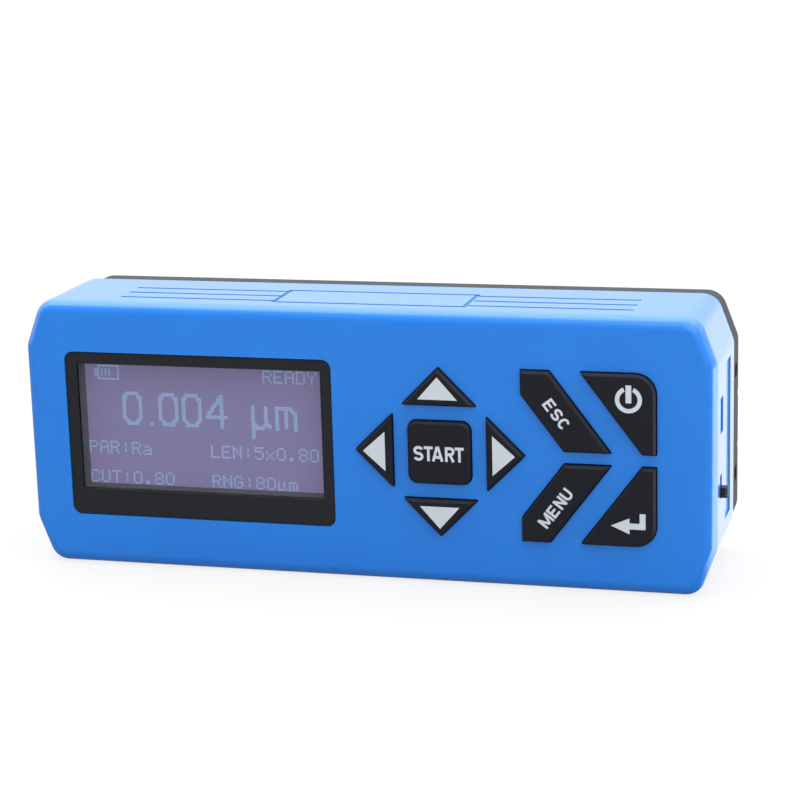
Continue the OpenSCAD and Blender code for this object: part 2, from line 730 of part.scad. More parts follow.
// Bridge over the drive: a front sheet, three plates and four feet on the base's floor
module drive_frame() color(steel) place() difference() {
    union() {
        block([frame_x0, frame_front, -frame_h / 2], [motor_x, frame_front + bridge_t, frame_h / 2]);
        for (x = [frame_x0, plate_b_x, motor_plate_x])
            block([x, frame_front, -frame_h / 2], [x + frame_t, floor_y, frame_h / 2]);
        feet() block([-frame_t / 2, floor_y - foot_t, -foot_h / 2], [foot_l, floor_y, foot_h / 2]);
    }
    bar_x(axis_y, 0, frame_x0 - past, frame_x0 + frame_t + past, pickup_out_r + pickup_gap);
    for (s = [-1, 1]) bar_x(lead_axis_y, s * rod_pitch / 2, frame_x0 - past, plate_b_x + frame_t + past,
        rod_r + fit / 4);
    bar_x(lead_axis_y, -lead_z, frame_x0 - past, plate_b_x + frame_t + past,
        journal_r + bush_wall + fit / 4);
    bar_x(lead_axis_y, -lead_z, motor_plate_x - past, motor_x + past, journal_r + bush_wall);
    feet() bar_y(foot_l / 2, 0, floor_y - foot_t - past, floor_y + past, foot_screw_r + fit);
}

module frame_screws() color(steel) place() feet() {
    bar_y(foot_l / 2, 0, floor_y - foot_t, floor_y + foot_grip - fit, foot_screw_r);
    bar_y(foot_l / 2, 0, floor_y - foot_t - foot_head_h, floor_y - foot_t, foot_head_r);
}

// Gearbox in front, motor can behind it and a rear bearing boss
module drive_motor() color(steel) place() translate([motor_x, lead_axis_y, -lead_z]) rotate([0, 90, 0]) {
    difference() {
        cylinder(r = motor_r, h = gearbox_l);
        translate([0, 0, -past]) cylinder(r = shaft_r + run_gap, h = shaft_in + 2 * past);
    }
    translate([0, 0, gearbox_l]) cylinder(r = motor_r * 0.92, h = motor_l - gearbox_l);
    translate([0, 0, motor_l]) cylinder(r = motor_r * 0.35, h = motor_boss_l);
}

module motor_shaft() color(steel) place()
    bar_x(lead_axis_y, -lead_z, coupling_mid + fit, motor_x + shaft_in, shaft_r);

module shaft_coupling() color("#8d9297") place() difference() {
    bar_x(lead_axis_y, -lead_z, coupling_x0, coupling_x0 + coupling_l, journal_r * 2);
    bar_x(lead_axis_y, -lead_z, coupling_x0 - past, coupling_mid, journal_r + fit / 4);
    bar_x(lead_axis_y, -lead_z, coupling_mid - past, coupling_x0 + coupling_l + past, shaft_r + fit / 4);
}

module lead_screw() color(steel) place() {
    bar_x(lead_axis_y, -lead_z, frame_x0, coupling_mid - fit, journal_r);
    bar_x(lead_axis_y, -lead_z, frame_x0 + frame_t + 2 * fit, plate_b_x - 2 * fit, lead_r);
}

module screw_bushes() color(bronze) place() for (x = [frame_x0, plate_b_x]) difference() {
    bar_x(lead_axis_y, -lead_z, x, x + frame_t, journal_r + bush_wall);
    bar_x(lead_axis_y, -lead_z, x - past, x + frame_t + past, journal_r + run_gap);
}

module guide_rods() color(steel) place() for (s = [-1, 1])
    bar_x(lead_axis_y, s * rod_pitch / 2, frame_x0, plate_b_x + frame_t, rod_r);

module carriage() color("#8d9297") place() difference() {
    block([carriage_x0, frame_front + bridge_t + carriage_gap, -carriage_h / 2],
        [carriage_x1, floor_y - carriage_gap, carriage_h / 2]);
    bar_x(axis_y, 0, carriage_x0 - past, carriage_x1 + past, pickup_out_r + fit / 4);
    bar_x(lead_axis_y, -lead_z, carriage_x0 - past, carriage_x1 + past, lead_r + nut_wall + fit / 4);
    for (s = [-1, 1]) bar_x(lead_axis_y, s * rod_pitch / 2, carriage_x0 - past, carriage_x1 + past,
        rod_r + bush_wall + fit / 4);
}

module rod_bushes() color(bronze) place() for (s = [-1, 1]) difference() {
    bar_x(lead_axis_y, s * rod_pitch / 2, carriage_x0, carriage_x1, rod_r + bush_wall);
    bar_x(lead_axis_y, s * rod_pitch / 2, carriage_x0 - past, carriage_x1 + past, rod_r + run_gap);
}

module screw_nut() color(bronze) place() difference() {
    bar_x(lead_axis_y, -lead_z, carriage_x0, carriage_x1, lead_r + nut_wall);
    bar_x(lead_axis_y, -lead_z, carriage_x0 - past, carriage_x1 + past, lead_r + run_gap);
}

// The pickup plugs into the wide bore; the narrow one behind it holds the contacts
module pickup_socket() color(steel) place() difference() {
    bar_x(axis_y, 0, mouth_x, carriage_x1, pickup_out_r);
    bar_x(axis_y, 0, mouth_x - past, mouth_x + pickup_dep, pickup_r);
    bar_x(axis_y, 0, mouth_x - past, carriage_x1 + past, contact_r);
}

// Insulator with four contact holes
module pickup_contacts() color(black) place() difference() {
    bar_x(axis_y, 0, mouth_x + pickup_dep, carriage_x1, contact_r - fit / 4);
    for (a = [0:90:270]) bar_x(axis_y + contact_r / 2 * cos(a), contact_r / 2 * sin(a),
        mouth_x + pickup_dep - past, carriage_x1 - past, contact_r / 4);
}

module base_screws() color(steel) place() four_screws() {
    bar_y(0, 0, shell_d - screw_grip, screw_seat_y, screw_r);
    bar_y(0, 0, screw_seat_y, screw_seat_y + screw_head_h, screw_head_r);
}

front_housing();
rear_base();
display_window();
display_bezel();
lcd_holder();
lcd_panel();
backlight();
main_board();
board_parts();
board_screws();
keypad_mat();
key_start();
key_up();
key_down();
key_left();
key_right();
key_escape();
key_menu();
key_power();
key_enter();
socket_shell();
socket_core();
switch_body();
switch_lever();
battery_pack();
drive_frame();
frame_screws();
drive_motor();
motor_shaft();
shaft_coupling();
lead_screw();
screw_bushes();
guide_rods();
carriage();
rod_bushes();
screw_nut();
pickup_socket();
pickup_contacts();
base_screws();
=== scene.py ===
# %% [markdown]
# # Dressing a hand-held surface roughness tester
# The tester is a blue moulded box on a grey base, with a display and nine black keys in front.
# Its solids come from the CAD frame at their real size, so nothing here is moved or resized.
# What is left to do is what a maker calls finishing: soft edges, prints, textures and light.

import json
import math

import bmesh
import bpy
from mathutils import Matrix, Vector

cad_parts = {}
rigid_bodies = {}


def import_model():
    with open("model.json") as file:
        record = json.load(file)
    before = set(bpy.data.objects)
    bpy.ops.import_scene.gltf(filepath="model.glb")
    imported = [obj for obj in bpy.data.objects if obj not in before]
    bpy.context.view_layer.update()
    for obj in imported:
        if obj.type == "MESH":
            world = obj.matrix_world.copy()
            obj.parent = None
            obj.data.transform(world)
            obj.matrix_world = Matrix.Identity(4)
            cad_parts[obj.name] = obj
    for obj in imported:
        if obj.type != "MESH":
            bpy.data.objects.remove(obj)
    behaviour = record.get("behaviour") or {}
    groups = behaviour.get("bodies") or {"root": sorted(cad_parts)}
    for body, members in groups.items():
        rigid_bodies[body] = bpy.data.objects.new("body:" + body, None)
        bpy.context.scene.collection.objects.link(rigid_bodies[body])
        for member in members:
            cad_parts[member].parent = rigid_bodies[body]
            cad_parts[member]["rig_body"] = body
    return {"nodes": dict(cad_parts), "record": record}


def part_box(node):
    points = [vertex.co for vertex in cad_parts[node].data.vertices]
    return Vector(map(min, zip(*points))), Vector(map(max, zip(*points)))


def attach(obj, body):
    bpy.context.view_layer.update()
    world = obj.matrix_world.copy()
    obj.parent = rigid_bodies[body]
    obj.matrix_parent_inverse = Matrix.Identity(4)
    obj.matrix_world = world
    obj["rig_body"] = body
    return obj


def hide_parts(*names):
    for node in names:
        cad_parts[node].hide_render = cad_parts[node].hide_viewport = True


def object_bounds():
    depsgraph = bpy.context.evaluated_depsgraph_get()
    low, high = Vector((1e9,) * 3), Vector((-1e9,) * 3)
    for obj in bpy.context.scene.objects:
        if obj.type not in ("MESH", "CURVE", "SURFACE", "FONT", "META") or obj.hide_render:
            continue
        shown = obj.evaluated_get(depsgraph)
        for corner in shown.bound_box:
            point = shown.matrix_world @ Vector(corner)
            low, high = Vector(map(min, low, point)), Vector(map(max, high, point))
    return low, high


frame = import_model()
cad_low, cad_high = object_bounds()
nodes = frame["nodes"]
slot_of = {part["node"]: part["material_slot"] for part in frame["record"]["subparts"]}
MM = 0.001
print(len(nodes), "nodes, size in mm:", [round(x / MM, 1) for x in cad_high - cad_low])

# %% [markdown]
# ## The camera
# A product shot is taken from far off with a long lens, so that the box keeps its proportions.
# The lens and the place were fitted to the corners of the display, the keys and the engraved lines.
# The camera is turned about three axes by name: round the object, down towards it, and a slight roll.

# %% Place the camera
LENS_MM = 105.2
CAMERA_AT = Vector((127.75, -444.18, 145.81)) * MM
AZIMUTH = math.radians(15.58)
ELEVATION = math.radians(13.75)
ROLL = math.radians(-1.64)

camera = bpy.data.objects.new("camera", bpy.data.cameras.new("camera"))
camera.data.lens = LENS_MM
camera.data.clip_start = 10 * MM
level = math.pi / 2 - ELEVATION
camera.matrix_world = (Matrix.Translation(CAMERA_AT) @ Matrix.Rotation(AZIMUTH, 4, "Z")
                       @ Matrix.Rotation(level, 4, "X") @ Matrix.Rotation(ROLL, 4, "Z"))
bpy.context.scene.collection.objects.link(camera)
bpy.context.scene.camera = camera
bpy.context.scene.view_settings.view_transform = "Standard"
print("camera", round(CAMERA_AT.length / MM), "mm from the origin")

# %% [markdown]
# ## A white tent
# The photograph was taken in a white tent that is open in front. Its walls show as a pale sheen where a
# face is seen at a flat angle, and the bright roof runs along the front edge.
# The world plays the tent: dark in front, white behind, brightest above. The camera sees plain white.
# Shiny faces also see a bright wall on the right, which lightens the edges that turn to that side.
# Generated coordinates give the direction of a ray, so the roof is a ramp over z, the opening one over y,
# and the right wall a ramp over the bearing, kept to low heights by another.

# %% World
ROOF_BRIGHT = 3.8
ROOF = ((0.0, 0.34), (0.24, 0.26), (0.67, 0.5), (0.93, 0.9))
OPEN_SHARE = 0.25
OPEN_FROM, OPEN_TO = -0.4, -0.2
SIDE_ROUND = ((0.0, 0.0), (0.455, 0.0), (0.475, 1.0), (0.54, 0.75), (0.6, 0.25), (0.66, 0.0))
SIDE_UP = ((0.2, 0.0), (0.3, 1.0), (0.38, 0.6), (0.5, 0.0))
SIDE_BRIGHT = 2.4


def new_node(tree, kind, **values):
    """Adds a shader node and sets its named inputs or properties."""
    node = tree.nodes.new(kind)
    for key, value in values.items():
        if key in node.inputs:
            node.inputs[key].default_value = value
        else:
            setattr(node, key, value)
    return node


def grey_ramp(tree, stops):
    """A ramp through (place, grey) stops."""
    ramp = new_node(tree, "ShaderNodeValToRGB")
    while len(ramp.color_ramp.elements) < len(stops):
        ramp.color_ramp.elements.new(1.0)
    for element, (place, grey) in zip(ramp.color_ramp.elements, stops):
        element.position = place
        element.color = (grey, grey, grey, 1.0)
    return ramp


def product(tree, first, second):
    """One output times another output or a number."""
    node = new_node(tree, "ShaderNodeMath", operation="MULTIPLY")
    tree.links.new(first, node.inputs[0])
    if isinstance(second, float):
        node.inputs[1].default_value = second
    else:
        tree.links.new(second, node.inputs[1])
    return node.outputs[0]


world = bpy.data.worlds.new("white tent")
bpy.context.scene.world = world
world.use_nodes = True
tent = world.node_tree
tent.nodes.clear()
ray = new_node(tent, "ShaderNodeTexCoord")
along = new_node(tent, "ShaderNodeSeparateXYZ")
roof = grey_ramp(tent, ROOF)
opening = new_node(tent, "ShaderNodeMapRange")
opening.inputs["From Min"].default_value = OPEN_FROM
opening.inputs["From Max"].default_value = OPEN_TO
opening.inputs["To Min"].default_value = OPEN_SHARE
tent.links.new(ray.outputs["Generated"], along.inputs[0])
tent.links.new(along.outputs["Z"], roof.inputs["Fac"])
tent.links.new(along.outputs["Y"], opening.inputs["Value"])
lit_tent = product(tent, product(tent, roof.outputs["Color"], ROOF_BRIGHT), opening.outputs["Result"])
bearing = new_node(tent, "ShaderNodeTexGradient", gradient_type="RADIAL")
side_round = grey_ramp(tent, SIDE_ROUND)
side_up = grey_ramp(tent, SIDE_UP)
tent.links.new(ray.outputs["Generated"], bearing.inputs["Vector"])
tent.links.new(bearing.outputs["Fac"], side_round.inputs["Fac"])
tent.links.new(along.outputs["Z"], side_up.inputs["Fac"])
tent_path = new_node(tent, "ShaderNodeLightPath")
in_gloss = product(tent, tent_path.outputs["Is Glossy Ray"], SIDE_BRIGHT)
side = product(tent, product(tent, side_round.outputs["Color"], side_up.outputs["Color"]), in_gloss)
light = new_node(tent, "ShaderNodeMath", operation="ADD")
tent.links.new(lit_tent, light.inputs[0])
tent.links.new(side, light.inputs[1])
walls = new_node(tent, "ShaderNodeBackground", Color=(1.0, 1.0, 1.0, 1.0))
white = new_node(tent, "ShaderNodeBackground", Color=(1.0, 1.0, 1.0, 1.0), Strength=1.0)
tent_mix = new_node(tent, "ShaderNodeMixShader")
tent_out = new_node(tent, "ShaderNodeOutputWorld")
tent.links.new(light.outputs[0], walls.inputs["Strength"])
tent.links.new(tent_path.outputs["Is Camera Ray"], tent_mix.inputs["Fac"])
tent.links.new(walls.outputs[0], tent_mix.inputs[1])
tent.links.new(white.outputs[0], tent_mix.inputs[2])
tent.links.new(tent_mix.outputs[0], tent_out.inputs["Surface"])
print("tent:", len(tent.nodes), "nodes")

# %% [markdown]
# ## One lamp and the floor
# A broad lamp above the right shoulder lights the front, and falls off slowly to the lower left.
# The floor is a pale sheet. The camera sees it mostly white, with a light contact shadow left in.
# In reflections it is part of the tent: bright beside the right end, white behind, dim in front, and dark
# under the tester as a painted shadow. A radial gradient about the front right corner gives that as an
# angle.
# Within some millimetres of that corner the sheen fades as a painted shadow, where the tester shades the
# sheet.

# %% Lamp and floor
KEY_AT = (0.5, -0.9, 0.75)
KEY_SIZE = 1.3
KEY_POWER = 6.9
FLOOR_HALF = 3.0
FLOOR_GAP_MM = 0.05
FLOOR_GREY = (0.5, 0.5, 0.5, 1.0)
FLOOR_GLOW = 1.1
FLOOR_WHITE = 0.72
# The last stops are dark under the tester: painted shadow.
SHEET = ((0.0, 0.03), (0.455, 0.03), (0.475, 1.0), (0.54, 0.75), (0.625, 0.4), (0.71, 0.2), (0.8, 0.2),
         (0.88, 0.03))
SHADE_FROM_MM, SHADE_TO_MM = 1, 10
SHEET_BRIGHT = 7.0


def soft_lamp(name, at, target, size, power):
    """A square area lamp at a place in metres, turned towards a target."""
    lamp = bpy.data.objects.new(name, bpy.data.lights.new(name, "AREA"))
    lamp.data.size = size
    lamp.data.energy = power
    lamp.location = at
    lamp.rotation_euler = (Vector(target) - Vector(at)).to_track_quat("-Z", "Y").to_euler()
    bpy.context.scene.collection.objects.link(lamp)


soft_lamp("key lamp", KEY_AT, (cad_low + cad_high) / 2, KEY_SIZE, KEY_POWER)

floor_bm = bmesh.new()
bmesh.ops.create_grid(floor_bm, x_segments=1, y_segments=1, size=FLOOR_HALF)
bmesh.ops.translate(floor_bm, verts=floor_bm.verts, vec=(0, 0, -FLOOR_GAP_MM * MM))
floor_mesh = bpy.data.meshes.new("floor")
floor_bm.to_mesh(floor_mesh)
floor_bm.free()
floor = bpy.data.objects.new("floor", floor_mesh)
bpy.context.scene.collection.objects.link(floor)
paper = bpy.data.materials.new("white paper")
floor.data.materials.append(paper)
paper.use_nodes = True
sheet = paper.node_tree
sheet.nodes.clear()
place = new_node(sheet, "ShaderNodeTexCoord")
corner = new_node(sheet, "ShaderNodeMapping")
corner.inputs["Location"].default_value = (-cad_high.x, -cad_low.y, 0)
angle = new_node(sheet, "ShaderNodeTexGradient", gradient_type="RADIAL")
bright = grey_ramp(sheet, SHEET)
sheet.links.new(place.outputs["Object"], corner.inputs["Vector"])
sheet.links.new(corner.outputs["Vector"], angle.inputs["Vector"])
sheet.links.new(angle.outputs["Fac"], bright.inputs["Fac"])
# Painted shadow: the sheen fades with the distance from the corner.
away = new_node(sheet, "ShaderNodeVectorMath", operation="LENGTH")
shade = new_node(sheet, "ShaderNodeMapRange")
shade.inputs["From Min"].default_value = SHADE_FROM_MM * MM
shade.inputs["From Max"].default_value = SHADE_TO_MM * MM
sheet.links.new(corner.outputs["Vector"], away.inputs[0])
sheet.links.new(away.outputs["Value"], shade.inputs["Value"])
lit_sheet = product(sheet, product(sheet, bright.outputs["Color"], SHEET_BRIGHT), shade.outputs["Result"])
matt = new_node(sheet, "ShaderNodeBsdfDiffuse", Color=FLOOR_GREY)
glow = new_node(sheet, "ShaderNodeEmission", Color=(1.0, 1.0, 1.0, 1.0), Strength=FLOOR_GLOW)
sheen = new_node(sheet, "ShaderNodeEmission", Color=(1.0, 1.0, 1.0, 1.0))
sheet_path = new_node(sheet, "ShaderNodeLightPath")
in_view = new_node(sheet, "ShaderNodeMixShader")
in_sheen = new_node(sheet, "ShaderNodeMixShader")
sheet_out = new_node(sheet, "ShaderNodeOutputMaterial")
sheet.links.new(lit_sheet, sheen.inputs["Strength"])
sheet.links.new(product(sheet, sheet_path.outputs["Is Camera Ray"], FLOOR_WHITE), in_view.inputs["Fac"])
sheet.links.new(matt.outputs[0], in_view.inputs[1])
sheet.links.new(glow.outputs[0], in_view.inputs[2])
sheet.links.new(sheet_path.outputs["Is Glossy Ray"], in_sheen.inputs["Fac"])
sheet.links.new(in_view.outputs[0], in_sheen.inputs[1])
sheet.links.new(sheen.outputs[0], in_sheen.inputs[2])
sheet.links.new(in_sheen.outputs[0], sheet_out.inputs["Surface"])
print("floor at", round(floor_mesh.vertices[0].co.z / MM, 2), "mm")

# %% [markdown]
# ## A finish that every surface shares
# Moulded plastic, paint and metal are never one flat colour: the colour clouds a little, the gloss
# varies and the mould leaves a fine grain. A helper builds that once, on Object coordinates, so that the
# pattern keeps its real size in millimetres, and each finish then only names its own numbers.
# Values that are the same all over are set on the shader's own sockets.

# %% The finish helper
GLOSS_VARIES = 0.12


def paint(red, green, blue):
    """A colour as a paint chart gives it, 0 to 255, for the shader."""
    def linear(c):
        c = c / 255
        return c / 12.92 if c <= 0.04045 else ((c + 0.055) / 1.055) ** 2.4
    return (linear(red), linear(green), linear(blue), 1.0)


def shaded(colour, by):
    """The same colour made lighter or darker."""
    return tuple(c * by for c in colour[:3]) + (1.0,)


def finish(name, colour, rough, cloud=0.05, cloud_mm=12.0, grain_mm=0.35, grain_dep_mm=0.006,
           stretch=(1.0, 1.0, 1.0), other=None, **sockets):
    """A material whose colour clouds, whose gloss varies and whose surface has a fine grain."""
    material = bpy.data.materials.new(name)
    material.use_nodes = True
    tree = material.node_tree
    shader = tree.nodes["Principled BSDF"]
    for socket, value in sockets.items():
        shader.inputs[socket.replace("_", " ")].default_value = value
    place = new_node(tree, "ShaderNodeTexCoord")
    drawn = new_node(tree, "ShaderNodeMapping")
    drawn.inputs["Scale"].default_value = stretch
    clouds = new_node(tree, "ShaderNodeTexNoise", Scale=1 / (cloud_mm * MM), Detail=3.0)
    grain = new_node(tree, "ShaderNodeTexNoise", Scale=1 / (grain_mm * MM), Detail=2.0)
    tones = new_node(tree, "ShaderNodeMix", data_type="RGBA")
    # Mix has an input of each kind under one name, so the colour ones are picked by number
    tones.inputs[6].default_value = shaded(colour, 1 - cloud)
    tones.inputs[7].default_value = shaded(other or colour, 1 + cloud)
    gloss = new_node(tree, "ShaderNodeMapRange")
    gloss.inputs["To Min"].default_value = rough * (1 - GLOSS_VARIES)
    gloss.inputs["To Max"].default_value = min(rough * (1 + GLOSS_VARIES), 1.0)
    bump = new_node(tree, "ShaderNodeBump", Strength=1.0, Distance=grain_dep_mm * MM)
    tree.links.new(place.outputs["Object"], drawn.inputs["Vector"])
    for noise in (clouds, grain):
        tree.links.new(drawn.outputs["Vector"], noise.inputs["Vector"])
    tree.links.new(clouds.outputs["Fac"], tones.inputs[0])
    tree.links.new(tones.outputs[2], shader.inputs["Base Color"])
    tree.links.new(grain.outputs["Fac"], gloss.inputs["Value"])
    tree.links.new(gloss.outputs["Result"], shader.inputs["Roughness"])
    tree.links.new(grain.outputs["Fac"], bump.inputs["Height"])
    tree.links.new(bump.outputs["Normal"], shader.inputs["Normal"])
    return material


blue_plastic = finish("blue moulded plastic", paint(14, 128, 232), 0.34, Coat_Weight=0.7,
                      Coat_Roughness=0.12)
print("finish:", blue_plastic.name)

# %% [markdown]
# ## Soft edges on a CAD solid
# A solid from CAD has knife edges, and no moulding has: light always runs along a small radius.
# A Bevel modifier could round them, but the frame's triangles are loose, so a copy is merged first.
# Flat triangles are dissolved into whole faces, and only the edges that stick out are bevelled.
# Weighted normals then keep the large faces flat to the eye.

# %% The edge helper
MERGE = 0.002 * MM
SHARP = math.radians(30)
CREASE = math.radians(40)
FLAT = math.radians(0.4)


def merged_copy(node):
    """A bmesh of a CAD node with its loose triangles joined into whole faces."""
    bm = bmesh.new()
    bm.from_mesh(nodes[node].data)
    bmesh.ops.remove_doubles(bm, verts=bm.verts, dist=MERGE)
    bmesh.ops.dissolve_limit(bm, angle_limit=FLAT, verts=bm.verts, edges=bm.edges)
    return bm


def outer_edges(bm, wanted=None):
    """The edges that stick out, all of them or those that wanted picks."""
    found = [e for e in bm.edges if e.is_manifold and e.is_convex and e.calc_face_angle() > SHARP]
    return [e for e in found if wanted is None or wanted((e.verts[0].co + e.verts[1].co) / 2)]


def round_off(bm, edges, radius_mm, segments=3):
    """Rounds edges with a small radius."""
    bmesh.ops.bevel(bm, geom=edges, offset=radius_mm * MM, offset_type="OFFSET", segments=segments,
                    profile=0.5, affect="EDGES", material=-1, clamp_overlap=True)


def make_piece(name, bm, material, body, smooth=True):
    """Turns a bmesh into a piece that rides on a body."""
    for face in bm.faces:
        face.smooth = smooth
    for edge in bm.edges:
        edge.smooth = edge.calc_face_angle(0) < CREASE
    mesh = bpy.data.meshes.new(name)
    bm.to_mesh(mesh)
    bm.free()
    mesh.materials.append(material)
    piece = bpy.data.objects.new(name, mesh)
    bpy.context.scene.collection.objects.link(piece)
    if smooth:
        piece.modifiers.new("flat faces", "WEIGHTED_NORMAL").keep_sharp = True
    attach(piece, body)
    return piece


def dressed(name, node, material, radius_mm, segments=3):
    """A copy of a CAD node with rounded edges, which stands for the node."""
    bm = merged_copy(node)
    round_off(bm, outer_edges(bm), radius_mm, segments)
    piece = make_piece(name, bm, material, nodes[node]["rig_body"])
    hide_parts(node)
    print(name, "has", len(piece.data.polygons), "faces")
    return piece


print("edges over", round(math.degrees(SHARP)), "degrees count as sharp")

# %% [markdown]
# ## The blue housing
# One injection moulding: a shell with slanted corners, openings for display and keys, and engraved
# lines on top. The mould's cutter left the lines crisp, so their edges get a tiny radius and the
# openings a larger one. Two bevels on the same mesh do that, picked by where the edges lie.
# The lines look a little broader on the real one, so their walls are first moved apart.
# Their walls and floors get a finish of their own, duller, with a greyer blue that is painted shade,
# and so does the step at the rear of the shallow recess in the right end.

# %% Housing shell
LINE_EDGE_MM = 0.06
LINE_WIDEN_MM = 0.2
OPENING_EDGE_MM = 0.12
STEP_MM = 0.8
UPRIGHT, STEEP, LEVEL, FORWARD = 0.1, 0.3, 0.99, 0.9
LINE_FLOOR_MM = 0.1
housing_low, housing_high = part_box("front_housing")
ENGRAVED = 0.5 * MM
# Painted shade: the greyer blue stands in for the shade in the lines and at the step.
groove_shade_plastic = finish("blue plastic with painted shade in the lines", paint(92, 142, 180), 0.6, Specular_IOR_Level=0.1)


def widen_lines(bm, lowest, by):
    """Moves the upright walls above a height apart, each against its own normal."""
    for vert in [v for v in bm.verts if v.co.z > lowest]:
        walls = {tuple(round(c) for c in f.normal) for f in vert.link_faces if abs(f.normal.z) < UPRIGHT}
        vert.co -= by * sum((Vector(wall) for wall in walls), Vector())


def in_a_line(face):
    """Whether a face is a wall or the floor of an engraved line."""
    deep = housing_high.z - face.calc_center_median().z
    is_wall = abs(face.normal.z) < STEEP
    is_floor = face.normal.z > LEVEL and deep > LINE_FLOOR_MM * MM
    return deep < ENGRAVED and (is_wall or is_floor)


def at_the_step(face):
    """Whether a face is the rear step of the recess in the right end."""
    return face.normal.y < -FORWARD and housing_high.x - face.calc_center_median().x < STEP_MM * MM


housing_bm = merged_copy("front_housing")
widen_lines(housing_bm, housing_high.z - ENGRAVED, LINE_WIDEN_MM * MM)
line_edges = outer_edges(housing_bm, lambda at: at.z > housing_high.z - ENGRAVED)
round_off(housing_bm, line_edges, LINE_EDGE_MM, segments=2)
opening_edges = outer_edges(housing_bm, lambda at: at.z < housing_high.z - ENGRAVED)
round_off(housing_bm, opening_edges, OPENING_EDGE_MM)
# The faces that take the painted shade: walls and floors of the lines, and the step.
painted_shade_faces = [f for f in housing_bm.faces if in_a_line(f) or at_the_step(f)]
for face in painted_shade_faces:
    face.material_index = 1
print(len(painted_shade_faces), "faces in the lines and at the step")
housing = make_piece("housing_shell", housing_bm, blue_plastic, "instrument")
housing.data.materials.append(groove_shade_plastic)
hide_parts("front_housing")
print("housing has", len(housing.data.polygons), "faces")

# %% [markdown]
# ## The grey base
# Such bases are die-cast and painted with a matt, slightly rough paint.
# The same helper makes it: more grain, less gloss, and a wider radius on its outer edges.

# %% Base
grey_paint = finish("grey base paint", paint(74, 78, 81), 0.75, cloud=0.08, grain_mm=0.28,
                    grain_dep_mm=0.015, Specular_IOR_Level=0.08)
dressed("base_shell", "rear_base", grey_paint, radius_mm=0.2)

# %% [markdown]
# ## Display bezel, holder, panel and window
# The bezel is fine matt black plastic. Behind its clear plate lies a grey holder, and five millimetres
# down the violet-grey panel. The panel's cells are a grid of dots with thin gaps, too fine to model,
# so the grid is drawn in the material: the fraction of x and z over the pitch is dark near its end.

# %% Display finishes and pieces
DOT_MM = 0.39
black_plastic = finish("black satin plastic", paint(35, 37, 42), 0.42, cloud=0.1, grain_mm=0.3,
                       Specular_IOR_Level=0.35)
grey_plastic = finish("grey holder plastic", paint(128, 129, 124), 0.6, cloud=0.06)
clear_plate = finish("clear acrylic", (0.97, 0.97, 0.98, 1.0), 0.03, cloud=0.01, grain_dep_mm=0.0,
                     Transmission_Weight=1.0, IOR=1.49)
panel_glass = finish("display panel", paint(182, 165, 218), 0.3, cloud=0.03, cloud_mm=16.0,
                     grain_dep_mm=0.0, other=paint(160, 166, 226),
                     Emission_Color=paint(200, 188, 240), Emission_Strength=0.16)


def add_dot_grid(material, pitch_mm, gap, depth):
    """Draws the fine gaps between a display's dots into a material's colour."""
    tree = material.node_tree
    shader = tree.nodes["Principled BSDF"]
    base_colour = shader.inputs["Base Color"].links[0].from_socket
    place = new_node(tree, "ShaderNodeTexCoord")
    parts = new_node(tree, "ShaderNodeSeparateXYZ")
    tree.links.new(place.outputs["Object"], parts.inputs[0])
    lines = []
    for axis in ("X", "Z"):
        cells = new_node(tree, "ShaderNodeMath", operation="MULTIPLY")
        cells.inputs[1].default_value = 1 / (pitch_mm * MM)
        within = new_node(tree, "ShaderNodeMath", operation="FRACT")
        line = new_node(tree, "ShaderNodeMath", operation="GREATER_THAN")
        line.inputs[1].default_value = 1 - gap
        tree.links.new(parts.outputs[axis], cells.inputs[0])
        tree.links.new(cells.outputs[0], within.inputs[0])
        tree.links.new(within.outputs[0], line.inputs[0])
        lines.append(line)
    either = new_node(tree, "ShaderNodeMath", operation="MAXIMUM")
    faint = new_node(tree, "ShaderNodeMath", operation="MULTIPLY")
    faint.inputs[1].default_value = depth
    dark = new_node(tree, "ShaderNodeMix", data_type="RGBA", blend_type="MULTIPLY")
    dark.inputs[7].default_value = (0.5, 0.5, 0.5, 1.0)
    tree.links.new(lines[0].outputs[0], either.inputs[0])
    tree.links.new(lines[1].outputs[0], either.inputs[1])
    tree.links.new(either.outputs[0], faint.inputs[0])
    tree.links.new(faint.outputs[0], dark.inputs[0])
    tree.links.new(base_colour, dark.inputs[6])
    tree.links.new(dark.outputs[2], shader.inputs["Base Color"])


add_dot_grid(panel_glass, DOT_MM, gap=0.15, depth=0.3)
dressed("bezel_frame", "display_bezel", black_plastic, radius_mm=0.12)
dressed("panel_holder", "lcd_holder", grey_plastic, radius_mm=0.1, segments=2)
dressed("window_plate", "display_window", clear_plate, radius_mm=0.1, segments=2)
nodes["lcd_panel"].data.materials.clear()
nodes["lcd_panel"].data.materials.append(panel_glass)

# %% [markdown]
# ## What the display shows
# A dot display writes with a pen that moves on a grid five dots wide. Each sign here is a few pen strokes,
# given as grid points: column, then row, with two rows kept free below the baseline.
# Walking along a stroke sets dots, and every dot becomes a thin tile on the panel.
# The reading is a plain number with its unit, and the small rows hold a standard's usual short words.

